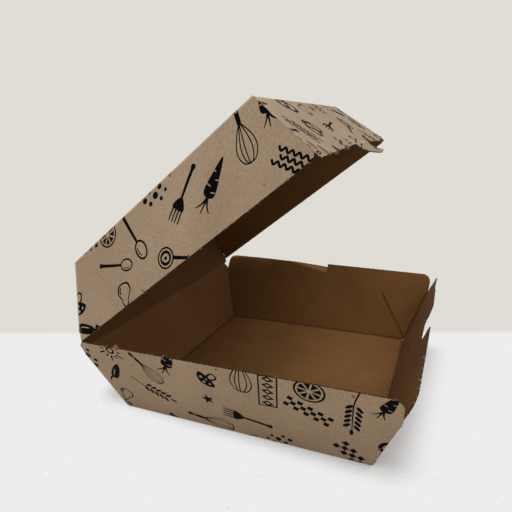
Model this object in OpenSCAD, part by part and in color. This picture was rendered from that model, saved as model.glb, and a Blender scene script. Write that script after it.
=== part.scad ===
// Hinged takeaway box folded from one sheet of kraft card, lid standing open.
// The origin is the centre of the underside, +Z is up, and the hinge is at the back, +Y.

/* [Card] */
// Thickness of the card
board_t = 0.5; // [0.35:0.05:0.8]
// How deep the glue draws a tab into the wall that it lies on
glue_sink = 0.05; // [0.02:0.01:0.1]
// How much thinner the card is along a pressed fold
fold_thin = 0.04; // [0.01:0.01:0.06]
// Seam left between the back wall and the side walls
seam_gap = 0.15; // [0.1:0.05:0.4]
// Size of the small hole left where three folds meet
corner_hole = 1.2; // [0.6:0.1:2]

/* [Tray] */
// Width of the tray's bottom, side to side
bottom_w = 112.4; // [90:0.2:160]
// Depth of the tray's bottom, front to back
bottom_d = 111.4; // [90:0.2:160]
// Height of the tray's rim above the table
rim_z = 38.5; // [28:0.5:55]
// How far the hinge crease lies under the rim of the side walls
hinge_drop = 4.1; // [2:0.1:6]
// How far each side wall leans out at the rim
side_flare = 14.2; // [6:0.2:20]
// How far the front wall leans out at the rim
front_flare = 14.8; // [8:0.2:20]
// How far the back wall leans out, measured up to the rim
back_flare = 10.7; // [6:0.2:16]
// How far the front wall stands up past the side walls
front_rise = 0.6; // [0:0.1:4]
// Radius of the free corners at the front of the rim
rim_corner_r = 4; // [2:0.5:8]
// Radius of the side walls' free corners beside the hinge
back_corner_r = 6.5; // [2:0.5:8]

/* [Lid] */
// Height of the lid's top over the hinge crease when it is closed
lid_h = 33.5; // [24:0.5:45]
// How far the lid's side walls lean in from their rim to the top
lid_side_flare = 12.8; // [6:0.2:20]
// How far the lid's front wall leans in over the lid's height
lid_front_flare = 10.7; // [5:0.1:14]
// How far the lid's back wall leans in from the hinge to the top
lid_back_flare = 11.2; // [6:0.1:14]
// How far the lid's rims drop inside the tray's when it is closed
lid_nest = 1.5; // [0.4:0.1:2.2]
// Radius of the free corners of the lid's rim
lid_corner_r = 2.5; // [1:0.5:5]
// Angle that the lid stands open, measured from closed
open_angle = 36.4; // [0:0.1:120]
// Gap along the hinge crease between the tray and the lid
hinge_gap = 0.5; // [0.4:0.05:0.9]
// Gap between the side walls of the tray and the lid when it is closed
rim_gap = 0.4; // [0.2:0.1:1]
// Room for the tongue between the two front walls when the lid is closed
front_room = 4; // [3.6:0.1:8]

/* [Glued tabs] */
// Length of the top edge of a tab at the front corners
front_tab_l = 26; // [12:0.5:32]
// Height of the tray's front tabs, up the slope of the wall
front_tab_h = 29; // [20:0.5:32]
// Length of the top edge of a tab at the back corners
back_tab_l = 27; // [12:0.5:32]
// Distance that the back tabs stop short of the hinge crease
back_tab_drop = 3.8; // [3:0.2:8]
// Distance that the lid's front tabs stop short of the rim
lid_tab_drop = 6; // [3:0.5:10]
// Distance of a tab's lower end from the bottom fold
tab_foot = 1; // [0.6:0.1:3]
// Radius of a tab's free corner
tab_corner_r = 2.5; // [1:0.5:5]

/* [Lock] */
// Place of the middle of the notch's floor, from the box's middle
lock_x = -1; // [-20:0.5:20]
// Width of the notch's floor in the tray's front wall
notch_w = 19; // [14:0.5:30]
// Depth of the notch under the front rim
notch_d = 8.4; // [5:0.2:12]
// How much the notch widens from its floor to the rim, on its right
notch_slant = 6; // [0:0.5:10]
// Radius where the notch runs out into the rim
notch_lip_r = 7; // [2:0.5:9]
// Length that the pointed side of the notch leans over it
notch_beak = 0.5; // [0:0.5:4]
// Width of the tongue at its root on the lid's rim
tongue_w = 30.5; // [24:0.5:44]
// Length of the tongue past the rim
tongue_l = 6.5; // [4:0.1:10]
// Length of the hook past the tongue's root
hook_l = 11; // [6:0.5:16]
// Height of the slot between the hook and the rim
hook_slot = 1.6; // [1:0.1:2.5]
// Play between the notch's side and the slot of the hook
hook_play = 1; // [0.3:0.1:2]
// Angle that the tongue is bent inwards at its root
tongue_bend = 11; // [10:1:45]

/* [Hidden] */

kraft = [0.74, 0.63, 0.51];
fold_r = board_t - fold_thin;
corner_fold_r = board_t - 2 * fold_thin;
wall_h = rim_z - board_t;
hinge_h = wall_h - hinge_drop;
hinge_in = bottom_d / 2 + back_flare * hinge_h / wall_h;

// leans of the walls away from upright
front_lean = atan2(front_flare, wall_h);
lid_front_lean = atan2(lid_front_flare, lid_h);

// the hinge crease runs where the outer faces of the two back walls meet
hinge_y = hinge_in + board_t / cos(atan2(back_flare, wall_h));
hinge_z = rim_z - hinge_drop;

// share of the lid's height that its front and side walls cover, from the top down to their rims
lid_rim_h = lid_h - hinge_drop + lid_nest;
lid_cover = lid_rim_h / lid_h;
lid_side_t = board_t / cos(atan2(lid_side_flare, lid_rim_h));
lid_rim_w = bottom_w + 2 * (side_flare * (wall_h - lid_nest) / wall_h - lid_side_t - rim_gap);
lid_top_w = lid_rim_w - 2 * lid_side_flare;
lid_top_back = hinge_in - lid_back_flare;
lid_front_t = board_t / cos(lid_front_lean);
lid_rim_front = bottom_d / 2 + front_flare * (wall_h - lid_nest) / wall_h - lid_front_t - front_room;
lid_top_d = lid_top_back + lid_rim_front - lid_front_flare * lid_cover;

// width of the two back walls at the crease, just clear of the tray's side walls
crease_w = bottom_w + 2 * side_flare * hinge_h / wall_h - 4 * seam_gap;

// right end of the tongue's root, where the slot of the hook takes the lip of the notch
tongue_right = lock_x + notch_w / 2 + notch_slant + notch_lip_r + hook_play;

function slope(flare, h) = sqrt(flare * flare + h * h);

// turns each corner [x, y, r] of an outline into an arc of radius r, or keeps it sharp where r is 0
function unit(a) = a / norm(a);
function corner_arc(a, b, c, r, steps) =
    let (p = [b.x, b.y], u = unit([a.x, a.y] - p), w = unit([c.x, c.y] - p),
         half = acos(max(-1, min(1, u * w))) / 2,
         room = 0.48 * min(norm([a.x, a.y] - p), norm([c.x, c.y] - p)),
         fit = min(r, room * tan(half)),
         mid = p + unit(u + w) * fit / sin(half),
         from = p + u * fit / tan(half) - mid,
         to = p + w * fit / tan(half) - mid,
         turn = atan2(from.x * to.y - from.y * to.x, from * to))
    [for (i = [0 : steps]) let (t = turn * i / steps)
        mid + [from.x * cos(t) - from.y * sin(t), from.x * sin(t) + from.y * cos(t)]];
function rounded(path, steps = 6) =
    let (n = len(path))
    [for (i = [0 : n - 1]) each (path[i].z == 0 ? [[path[i].x, path[i].y]]
        : corner_arc(path[(i + n - 1) % n], path[i], path[(i + 1) % n], path[i].z, steps))];

// stands a wall on its fold: x runs along the fold, y up the slope and z out of the box
module on_fold(distance, heading, lean) {
    rotate([0, 0, heading]) translate([0, -distance, 0]) rotate([90 + lean, 0, 0]) children();
}

// flat card with its inner face at z = 0
module card(path) {
    linear_extrude(board_t) polygon(rounded(path));
}

// round outside of a fold that runs from a to b
module fold(a, b, r = fold_r) {
    run = b - a;
    translate([a.x, a.y, 0]) rotate([0, 0, atan2(run.y, run.x)]) rotate([0, 90, 0])
        cylinder(h = norm(run), r = r, $fn = 24);
}

// flat panel between the four walls, open by a small hole at each corner
module floor_panel(w, d) {
    c = corner_hole;
    mirror([0, 0, 1]) linear_extrude(board_t) polygon([
        [-w / 2 + c, -d / 2], [w / 2 - c, -d / 2], [w / 2, -d / 2 + c], [w / 2, d / 2 - c],
        [w / 2 - c, d / 2], [-w / 2 + c, d / 2], [-w / 2, d / 2 - c], [-w / 2, -d / 2 + c]]);
}

// tab with a slanted free edge, hanging from a corner fold that climbs from foot to top
module tab(foot, top, length) {
    linear_extrude(board_t + glue_sink) polygon(rounded([
        [foot.x, foot.y, 0], [top.x, top.y, 0], [top.x - length, top.y, tab_corner_r]]));
}

// side wall on the right, from its front corner to the tab that wraps round the back
module side_wall(w, d, h, side, front, back, cover, front_tab, back_tab, corner_r, back_r) {
    v = slope(side, h);
    rim_v = v * cover;
    front_t = board_t / cos(atan2(front, h));
    back_t = board_t / cos(atan2(back, h));
    front_top = -d / 2 - front * rim_v / v - front_t;
    back_low = d / 2 + back_t;
    back_tab_v = back_tab * v / slope(back, h);
    back_mid = back_low + back * back_tab_v / v;
    on_fold(w / 2, 90, atan2(side, h)) {
        card([[-d / 2 - front_t, 0, 0], [back_low, 0, 0], [back_mid, back_tab_v, 0],
            [back_mid - 2 * board_t, back_tab_v, 0], [back_mid - 2 * board_t, rim_v, back_r],
            [front_top, rim_v, corner_r]]);
        fold([-d / 2 + corner_hole / 2, 0], [d / 2 - corner_hole / 2, 0]);
        // tab of the front wall, glued on the inner face
        fold_foot = [-d / 2 - front * tab_foot / v, tab_foot];
        fold_top = [-d / 2 - front * front_tab / v, front_tab];
        translate([0, 0, glue_sink]) mirror([0, 0, 1]) mirror([1, 0, 0])
            tab([-fold_foot.x, fold_foot.y], [-fold_top.x, fold_top.y], front_tab_l);
    }
}

// outline of a front wall, whose folded ends lie inside the side walls
module front_outline(w, h, side, front, rim_v, front_tab, corner_r) {
    v = slope(front, h);
    low = w / 2 - board_t / cos(atan2(side, h));
    tab_x = low + side * front_tab / v;
    free_x = low + side * rim_v / v - board_t;
    polygon(rounded([[-low, 0, 0], [low, 0, 0], [tab_x, front_tab, 0],
        [tab_x - board_t, front_tab, 0], [free_x, rim_v, corner_r], [-free_x, rim_v, corner_r],
        [-tab_x + board_t, front_tab, 0], [-tab_x, front_tab, 0]]));
}

// bottom fold and the two corner folds of a front wall
module front_folds(w, h, side, front, front_tab) {
    low = w / 2 - board_t / cos(atan2(side, h));
    tab_x = low + side * front_tab / slope(front, h);
    fold([-w / 2 + corner_hole / 2, 0], [w / 2 - corner_hole / 2, 0]);
    fold([low, 0], [tab_x, front_tab], corner_fold_r);
    fold([-low, 0], [-tab_x, front_tab], corner_fold_r);
}

// back wall up to the hinge crease, with the tabs of the side walls glued on its outer face;
// past side_v it narrows to crease_w, so that it fits between the tray's side walls
module back_wall(w, d, h, side, back, back_tab, side_v, crease_v) {
    v = slope(back, h);
    rim_v = crease_v - hinge_gap / 2;
    low = w / 2 - seam_gap;
    high = low + side * side_v / v;
    fold_foot = [w / 2, 0];
    fold_top = [w / 2 + side * back_tab / v, back_tab];
    tab_start = [w / 2 + side * tab_foot / v, tab_foot];
    on_fold(d / 2, 180, atan2(back, h)) {
        card([[-low, 0, 0], [low, 0, 0], [high, side_v, 0], [crease_w / 2, rim_v, 0],
            [-crease_w / 2, rim_v, 0], [-high, side_v, 0]]);
        fold([-w / 2 + corner_hole / 2, 0], [w / 2 - corner_hole / 2, 0]);
        for (side_dir = [0, 1]) mirror([side_dir, 0, 0]) translate([0, 0, board_t]) {
            fold(fold_foot, fold_top, corner_fold_r);
            translate([0, 0, -glue_sink]) tab(tab_start, fold_top, back_tab_l);
        }
    }
}

// cut-out in the tray's front rim: one side ends in a point, the other runs out in a curve
module notch_outline(rim_v) {
    left = lock_x - notch_w / 2;
    right = lock_x + notch_w / 2;
    floor_v = rim_v - notch_d;
    above = rim_v + 1;
    lip = right + notch_slant + 2 * notch_lip_r;
    polygon(rounded([[left + notch_beak, rim_v, 0], [left, floor_v, notch_d / 5],
        [right, floor_v, notch_d / 3], [right + notch_slant, rim_v, notch_lip_r],
        [lip, rim_v, 0], [lip, above, 0], [left + notch_beak, above, 0]]));
}

// tongue that starts on the lid's front rim, with a hook that points to the right past its root
module tongue_outline() {
    root_left = tongue_right - tongue_w;
    root_in = -0.4 * board_t;
    polygon(rounded([[root_left, root_in, 0], [tongue_right, root_in, 0], [tongue_right, 0, 0],
        [tongue_right + hook_slot / 2, hook_slot, hook_slot / 2],
        [tongue_right + hook_l * 0.3, tongue_l * 0.58, hook_l / 2],
        [tongue_right + hook_l, tongue_l * 0.8, 0],
        [tongue_right - tongue_w * 0.2, tongue_l, 3 * tongue_l],
        [root_left + tongue_w * 0.42, tongue_l, 2 * tongue_l],
        [root_left + tongue_w * 0.04, tongue_l * 0.48, tongue_l / 6], [root_left, 0, 0]]));
}

// tongue bent inwards at its root, where a front wall ends
module tongue(rim_v) {
    bead_right = tongue_right - board_t;
    bead_left = tongue_right - tongue_w + board_t;
    translate([0, rim_v, 0]) {
        rotate([-tongue_bend, 0, 0]) linear_extrude(board_t) tongue_outline();
        fold([bead_left, 0], [bead_right, 0], corner_fold_r);
    }
}

module tray() {
    front_rim_v = slope(front_flare, wall_h) + front_rise;
    crease_v = slope(back_flare, wall_h) * hinge_h / wall_h;
    back_tab = crease_v - back_tab_drop;
    color(kraft) translate([0, 0, board_t]) {
        floor_panel(bottom_w, bottom_d);
        for (side_dir = [0, 1]) mirror([side_dir, 0, 0])
            side_wall(bottom_w, bottom_d, wall_h, side_flare, front_flare, back_flare, 1,
                front_tab_h, back_tab, rim_corner_r, back_corner_r);
        back_wall(bottom_w, bottom_d, wall_h, side_flare, back_flare, back_tab, back_tab, crease_v);
        on_fold(bottom_d / 2, 0, front_lean) {
            linear_extrude(board_t) difference() {
                front_outline(bottom_w, wall_h, side_flare, front_flare, front_rim_v,
                    front_tab_h, rim_corner_r);
                notch_outline(front_rim_v);
            }
            front_folds(bottom_w, wall_h, side_flare, front_flare, front_tab_h);
        }
    }
}

// lid as it lies when closed, upside down over the tray
module closed_lid() {
    side_flare_h = lid_side_flare / lid_cover;
    front_rim_v = slope(lid_front_flare, lid_h) * lid_cover;
    front_tab = front_rim_v - lid_tab_drop;
    crease_v = slope(lid_back_flare, lid_h);
    side_v = crease_v * lid_cover;
    back_tab = side_v - back_tab_drop;
    translate([0, lid_top_back - lid_top_d / 2, hinge_z + lid_h]) mirror([0, 0, 1]) {
        floor_panel(lid_top_w, lid_top_d);
        for (side_dir = [0, 1]) mirror([side_dir, 0, 0])
            side_wall(lid_top_w, lid_top_d, lid_h, side_flare_h, lid_front_flare,
                lid_back_flare, lid_cover, front_tab, back_tab, lid_corner_r, lid_corner_r / 2);
        back_wall(lid_top_w, lid_top_d, lid_h, side_flare_h, lid_back_flare, back_tab, side_v,
            crease_v);
        on_fold(lid_top_d / 2, 0, lid_front_lean) {
            linear_extrude(board_t)
                front_outline(lid_top_w, lid_h, side_flare_h, lid_front_flare, front_rim_v,
                    front_tab, lid_corner_r);
            front_folds(lid_top_w, lid_h, side_flare_h, lid_front_flare, front_tab);
            tongue(front_rim_v);
        }
    }
}

module lid() {
    color(kraft) translate([0, hinge_y, hinge_z]) rotate([-open_angle, 0, 0])
        translate([0, -hinge_y, -hinge_z]) closed_lid();
}

tray();
lid();
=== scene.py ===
# Kraft takeaway box: the flat sheet is drawn, printed and cut as panels, then folded round its folds.
import math
import random
import bmesh
import bpy
import numpy
from mathutils import Matrix, Vector
from mathutils.geometry import delaunay_2d_cdt


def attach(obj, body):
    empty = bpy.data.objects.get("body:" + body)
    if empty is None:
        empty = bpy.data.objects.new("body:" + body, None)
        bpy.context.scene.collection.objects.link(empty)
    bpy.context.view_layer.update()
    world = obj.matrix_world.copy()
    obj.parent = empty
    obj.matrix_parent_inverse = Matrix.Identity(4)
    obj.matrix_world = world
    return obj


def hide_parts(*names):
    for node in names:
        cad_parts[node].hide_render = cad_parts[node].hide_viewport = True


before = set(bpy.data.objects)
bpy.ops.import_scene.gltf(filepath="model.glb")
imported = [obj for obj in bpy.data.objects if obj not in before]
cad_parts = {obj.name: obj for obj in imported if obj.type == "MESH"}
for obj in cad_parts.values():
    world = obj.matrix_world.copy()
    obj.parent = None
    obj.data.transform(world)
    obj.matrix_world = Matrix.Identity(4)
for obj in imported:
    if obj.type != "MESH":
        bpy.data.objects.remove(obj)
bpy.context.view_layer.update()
print("frame loaded:", sorted(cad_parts))

mm = 0.001          # every size below is in millimetres
sheetUnit = 100     # millimetres of card to one unit of the sheet's own map

card = {
    "thickness": 0.5,
    "foldRadius": 0.45,     # inner radius of a pressed fold
    "grid": 3.0,            # spacing of the mesh points on a flat panel
    "foldLines": (-1 / 3, 1 / 3, 1, 3),     # extra mesh lines beside a fold, in half widths of its strip
    "glueFilm": 0.03,
    "tabFoot": 1.0,
    "tabCorner": 2.5,
    "tabRoom": 0.5,         # between a front tab's top and the shoulder of its wall
    "tabStep": 1.2,         # in thicknesses, how far a wall steps in past its tab
    "cornerHole": 1.2,
    "seamGap": 0.15,
    "slitGap": 0.04,
    "sharpFrom": 38.0,      # edges that turn more than this, in degrees, stay crisp
}


def slope(flare, height):
    return math.hypot(flare, height)


def lean(flare, height):
    return math.atan2(flare, height)


def levelThickness(flare, height):
    return card["thickness"] / math.cos(lean(flare, height))


def roundCorner(before, corner, after, radius, steps):
    p = Vector(corner)
    toBefore = (Vector(before) - p).normalized()
    toAfter = (Vector(after) - p).normalized()
    half = toBefore.angle(toAfter) / 2
    room = 0.48 * min((Vector(before) - p).length, (Vector(after) - p).length)
    radius = min(radius, room * math.tan(half))
    centre = p + (toBefore + toAfter).normalized() * radius / math.sin(half)
    start = p + toBefore * radius / math.tan(half) - centre
    end = p + toAfter * radius / math.tan(half) - centre
    turn = math.atan2(start.x * end.y - start.y * end.x, start.dot(end))
    return [tuple(centre + Matrix.Rotation(turn * i / steps, 2) @ start) for i in range(steps + 1)]


def rounded(path, steps=6):
    # path holds (x, y, radius); a radius of 0 keeps the corner sharp
    points = []
    for i, (x, y, radius) in enumerate(path):
        if radius == 0:
            points.append((x, y))
        else:
            points += roundCorner(path[i - 1][:2], (x, y), path[(i + 1) % len(path)][:2], radius, steps)
    return points


# Panels of a sheet. Each wall has its own u along its fold and v away from it, drawn on the flat sheet.

def onSheet(panel, points):
    origin, along, outward = panel["origin"], panel["along"], panel["outward"]
    return [tuple(origin + along * p[0] + outward * p[1]) for p in points]


def turnOf(leanA, leanB):
    # how far a tab turns at the corner between two leaning walls
    return math.acos(math.sin(leanA) * math.sin(leanB))


def zoneOf(angle):
    # half width of the strip of sheet that bends at a fold
    return card["foldRadius"] * math.tan(angle / 2)


def wallPanel(name, distance, along, outward, wallLean):
    angle = math.radians(90) - wallLean
    along, outward = Vector(along), Vector(outward)
    return {"name": name, "origin": outward * distance, "along": along, "outward": outward,
            "folds": [(outward * distance, outward, angle)], "zone": zoneOf(angle)}


def tabPanel(name, wall, low, high, side, angle, length, cornerLean):
    # low and high are the ends of the corner fold in the wall's u and v; side is the end that it is on
    run = Vector(high) - Vector(low)
    alongFold = run.normalized()
    away = Vector((alongFold.y, -alongFold.x)) * side
    start = Vector(onSheet(wall, [low])[0])
    axis = wall["along"] * alongFold.x + wall["outward"] * alongFold.y
    out = wall["along"] * away.x + wall["outward"] * away.y
    panel = {"name": name, "origin": start, "along": axis, "outward": out,
             "folds": [(start, out, angle)] + wall["folds"], "zone": zoneOf(angle)}
    zone, foot = panel["zone"], card["tabFoot"]
    free = (run.length - length * math.sin(cornerLean), length * math.cos(cornerLean), card["tabCorner"])
    path = [(foot, -zone, 0), (run.length, -zone, 0), (run.length, 0, 0), free, (foot, 0, 0)]
    panel["outline"] = onSheet(panel, rounded(path))
    return panel


def notchPath(size, rim):
    # cut-out in the rim, from its +u side to its -u side
    if "notch" not in size:
        return []
    notch = size["notch"]
    left, right = notch["x"] - notch["width"] / 2, notch["x"] + notch["width"] / 2
    floor, lip = rim - notch["depth"], right + notch["slant"]
    return [(lip + 2 * notch["lipRadius"], rim, 0), (lip, rim, notch["lipRadius"]),
            (right, floor, notch["depth"] / 3), (left, floor, notch["depth"] / 5), (left + notch["beak"], rim, 0)]


def tonguePanel(tongue, wall, rim):
    # the lid lies turned over on its sheet, so its right is at -u
    angle = math.radians(tongue["bend"])
    start = Vector(onSheet(wall, [(0, rim)])[0])
    panel = {"name": "tongue", "origin": start, "along": wall["along"], "outward": wall["outward"],
             "folds": [(start, wall["outward"], angle)] + wall["folds"], "zone": zoneOf(angle)}
    right, width, length = tongue["right"], tongue["width"], tongue["length"]
    left, hook, slot, zone = right - width, tongue["hook"], tongue["slot"], panel["zone"]
    path = [(left, -zone, 0), (left, 0, 0), (left + width * 0.04, length * 0.48, length / 6),
            (left + width * 0.42, length * 0.91, 2 * length), (right - 3, length * 1.17, 2 * length),
            (right + hook * 0.55, length * 1.22, length),
            (right + hook, length * 1.01, 0), (right + hook * 0.3, length * 0.66, hook / 2),
            (right + slot / 2, slot, slot / 2), (right, 0, 0), (right, -zone, 0)]
    panel["outline"] = onSheet(panel, rounded([(-x, y, radius) for x, y, radius in path]))
    return panel


def sheetPanels(size):
    width, depth, height = size["width"], size["depth"], size["height"]
    side, front, back = size["sideFlare"], size["frontFlare"], size["backFlare"]
    thickness, seam = card["thickness"], card["seamGap"]
    sideSlope, frontSlope, backSlope = slope(side, height), slope(front, height), slope(back, height)
    sideLean, frontLean, backLean = lean(side, height), lean(front, height), lean(back, height)
    panels = []

    # front wall, whose two ends fold in behind the side walls
    wall = wallPanel("front", depth / 2, (1, 0), (0, -1), frontLean)
    low = width / 2 - levelThickness(side, height) - card["glueFilm"]
    tabTop, rim = size["frontTab"], frontSlope * size["cover"] + size["frontRise"]
    tabX = low + side * tabTop / frontSlope
    freeX = low + side * rim / frontSlope - thickness
    foldEnd = width / 2 - card["cornerHole"]
    path = [(-foldEnd, -wall["zone"], 0), (foldEnd, -wall["zone"], 0), (foldEnd, 0, 0), (low, 0, 0),
            (tabX, tabTop, 0), (tabX - thickness, tabTop, 0),
            (freeX + size["frontReach"], rim + size["frontSkew"][1], size["frontCorner"][1])]
    if "tongue" in size:
        root, tongue = rim - size["tongue"]["rise"], size["tongue"]
        path += [(tongue["width"] - tongue["right"], root, 0), (-tongue["right"], root, 0)]
    path += notchPath(size, rim)
    path += [(-freeX, rim + size["frontSkew"][0], size["frontCorner"][0]), (-tabX + thickness, tabTop, 0),
             (-tabX, tabTop, 0), (-low, 0, 0), (-foldEnd, 0, 0)]
    wall["outline"] = onSheet(wall, rounded(path))
    wall["nicks"] = [(u, rim, share) for u, share in size["frontNicks"]]
    turn = turnOf(sideLean, frontLean)
    for end in (1, -1):
        panels.append(tabPanel("frontTab", wall, (end * low, 0), (end * tabX, tabTop), end, turn,
                               size["frontTabLength"], lean(front, sideSlope)))
    if "tongue" in size:
        panels.append(tonguePanel(size["tongue"], wall, rim - size["tongue"]["rise"]))
    frontWall = wall

    # side walls, whose back ends wrap round the back wall
    sideWalls = []
    frontCover = levelThickness(front, height)
    backLow = depth / 2 + levelThickness(back, height) + card["glueFilm"]
    backTab = size["backTab"] * sideSlope / backSlope
    backMid = backLow + back * backTab / sideSlope
    sideRim = sideSlope * size["cover"]
    frontTabTop = size["frontTab"] + card["tabRoom"]
    frontMid = -depth / 2 - front * frontTabTop / sideSlope - frontCover
    for end in (1, -1):
        # a tab that springs off the back wall at its fold still lies on it at its far end
        spring = size["spring"][end]
        turn = turnOf(sideLean, backLean) + math.atan(spring / size["backTabLength"])
        foldTop = backMid + spring
        stepIn = foldTop - card["tabStep"] * thickness
        backFree = stepIn + size["backReach"][end]
        wall = wallPanel("right" if end > 0 else "left", width / 2, (0, 1), (end, 0), sideLean)
        foldEnd = depth / 2 - card["cornerHole"]
        path = [(-foldEnd, -wall["zone"], 0), (foldEnd, -wall["zone"], 0), (foldEnd, 0, 0),
                (backLow, 0, 0), (foldTop, backTab, 0), (stepIn, backTab + 0.1, 0),
                (backFree, sideRim + size["rimSkew"][end][1], size["backCorner"])]
        wall["nicks"] = [(u, sideRim, share) for u, share in size["nicks"][end]]
        if size["slit"]["end"] == end:
            cut, skew, gap = size["slit"], size["rimSkew"][end], card["slitGap"]
            top = sideRim + skew[0] + (skew[1] - skew[0]) * (cut["at"] - frontMid) / (backFree - frontMid)
            path += [(cut["at"] + gap, top, 0), (cut["at"], top - cut["depth"], 0), (cut["at"] - gap, top, 0)]
            wall["marks"] = [[(cut["at"] - cut["way"] * cut["length"], top), (cut["at"], top - cut["depth"])]]
        path += [(frontMid - size["frontLean"], sideRim + size["rimSkew"][end][0], size["rimCorner"]),
                 (frontMid, frontTabTop, 0), (-depth / 2 - frontCover, 0, 0), (-foldEnd, 0, 0)]
        wall["outline"] = onSheet(wall, rounded(path))
        sideWalls.append(wall)
        panels.append(tabPanel("backTab", wall, (backLow, 0), (foldTop, backTab), 1, turn,
                               size["backTabLength"], lean(side, backSlope)))

    # back wall up to the hinge crease
    wall = wallPanel("back", depth / 2, (-1, 0), (0, 1), backLean)
    low, rim = width / 2 - seam, size["crease"] - 0.1
    sideTop = min(backSlope * size["cover"], rim - 0.5)
    foldEnd = width / 2 - card["cornerHole"]
    path = [(-foldEnd, -wall["zone"], 0), (foldEnd, -wall["zone"], 0), (foldEnd, 0, 0)]
    for end in (1, -1):
        # its two upper corners are cut back to the ends of the crease
        cut, drop = size["shoulder"][-end]
        shoulder = [(low, 0, 0), (low + side * (sideTop - drop) / backSlope, sideTop - drop, 0.5),
                    (hinge["reach"] - cut, rim, 0)]
        path += [(end * u, v, radius) for u, v, radius in shoulder[::end]]
    path.append((-foldEnd, 0, 0))
    wall["outline"] = onSheet(wall, rounded(path))

    hole = card["cornerHole"]
    flat = {"name": "flat", "origin": Vector((0, 0)), "along": Vector((1, 0)),
            "outward": Vector((0, 1)), "folds": [], "zone": 0, "outline": []}
    for sx, sy in ((1, -1), (1, 1), (-1, 1), (-1, -1)):
        corner = [(sx * (width / 2 - hole), sy * depth / 2), (sx * width / 2, sy * (depth / 2 - hole))]
        flat["outline"] += corner if sx * sy < 0 else corner[::-1]
    return panels + [frontWall] + sideWalls + [wall, flat]


# Points in outlines, for many points at once

def inside(points, outline):
    x, y = points[:, 0], points[:, 1]
    hit = numpy.zeros(len(points), bool)
    for (ax, ay), (bx, by) in zip(outline, outline[1:] + outline[:1]):
        if ay == by:
            continue
        crosses = (ay > y) != (by > y)
        hit ^= crosses & (x < (bx - ax) * (y - ay) / (by - ay) + ax)
    return hit


def awayFrom(points, outline):
    nearest = numpy.full(len(points), 1e9)
    for a, b in zip(outline, outline[1:] + outline[:1]):
        a, b = numpy.array(a), numpy.array(b)
        run = b - a
        t = numpy.clip((points - a) @ run / max(run @ run, 1e-12), 0, 1)
        nearest = numpy.minimum(nearest, numpy.linalg.norm(points - a - t[:, None] * run, axis=1))
    return nearest


def cutSheet(panels, shapes):
    # one triangulation of the flat sheet that keeps every outline, fold line and edge of print
    points, edges = [], []

    def addPath(path, closed):
        first = len(points)
        points.extend(path)
        last = len(path) - 1
        edges.extend((first + i, first + i + 1) for i in range(last))
        if closed:
            edges.append((first + last, first))

    for panel in panels:
        addPath(panel["outline"], True)
        outline = numpy.array(panel["outline"])
        local = outline - numpy.array(panel["origin"])
        u, v = local @ numpy.array(panel["along"]), local @ numpy.array(panel["outward"])
        zone = panel["zone"]
        if zone:
            atFold = u[numpy.abs(v) < 2 * zone]
            ends = (atFold.min(), atFold.max())
            for part in card["foldLines"]:
                addPath(onSheet(panel, [(ends[0], part * zone), (ends[1], part * zone)]), False)
        for mark in panel.get("marks", []):
            addPath(onSheet(panel, mark), False)
        step = card["grid"]
        grid = [(step * i, step * j) for i in range(int(u.min() / step) - 1, int(u.max() / step) + 2)
                for j in range(int(v.min() / step) - 1, int(v.max() / step) + 2)]
        grid = numpy.array(onSheet(panel, grid))
        grid = grid[inside(grid, panel["outline"])]
        grid = grid[awayFrom(grid, panel["outline"]) > step / 3]
        points.extend(map(tuple, grid))
    for shape in shapes:
        addPath(shape["outline"], True)

    verts, _, faces, _, _, _ = delaunay_2d_cdt([Vector(p) for p in points], edges, [], 0, 1e-4, False)
    verts = numpy.array([tuple(v) for v in verts])
    faces = numpy.array([tuple(f) for f in faces])
    middle = verts[faces].mean(axis=1)
    owner = numpy.full(len(faces), -1)
    for i in reversed(range(len(panels))):
        owner[inside(middle, panels[i]["outline"])] = i
    inked = numpy.zeros(len(faces), int)
    for shape in shapes:
        outline = numpy.array(shape["outline"])
        near = ((middle >= outline.min(axis=0)) & (middle <= outline.max(axis=0))).all(axis=1)
        rows = numpy.nonzero(near)[0]
        covered = rows[inside(middle[rows], shape["outline"])]
        inked[covered] = shape["finish"]
    keep = owner >= 0
    return verts, faces[keep], owner[keep], inked[keep]


# Print: simple shapes in flat black, laid over each other. ink False takes the print away again.

def circle(x, y, radius, squeeze=1.0, turn=0.0, count=24):
    cosT, sinT = math.cos(turn), math.sin(turn)
    points = []
    for i in range(count):
        a = 2 * math.pi * i / count
        px, py = radius * math.cos(a), radius * squeeze * math.sin(a)
        points.append((x + px * cosT - py * sinT, y + px * sinT + py * cosT))
    return points


def smoothLine(points, steps=5):
    # Catmull-Rom curve through the points
    knots = [2 * Vector(points[0]) - Vector(points[1])] + [Vector(p) for p in points]
    knots.append(2 * knots[-1] - knots[-2])
    path = []
    for i in range(1, len(knots) - 2):
        a, b, c, d = knots[i - 1:i + 3]
        for j in range(steps):
            t = j / steps
            path.append(0.5 * (2 * b + (c - a) * t + (2 * a - 5 * b + 4 * c - d) * t ** 2
                               + (3 * b - a - 3 * c + d) * t ** 3))
    return path + [knots[-2]]


def stroke(points, width, tip=1.0, smooth=True):
    # brush line through the points; tip thins its end
    path = smoothLine(points) if smooth and len(points) > 2 else [Vector(p) for p in points]
    left, right = [], []
    for i, p in enumerate(path):
        run = path[min(i + 1, len(path) - 1)] - path[max(i - 1, 0)]
        side = Vector((-run.y, run.x)).normalized()
        half = width / 2 * (1 + (tip - 1) * i / (len(path) - 1))
        left.append(tuple(p + side * half))
        right.append(tuple(p - side * half))
    return left + right[::-1]


def blob(points, steps=4):
    closed = [points[-1]] + points + points[:2]
    path = smoothLine(closed, steps)
    return [tuple(p) for p in path[steps:-steps - 1]]


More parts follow.
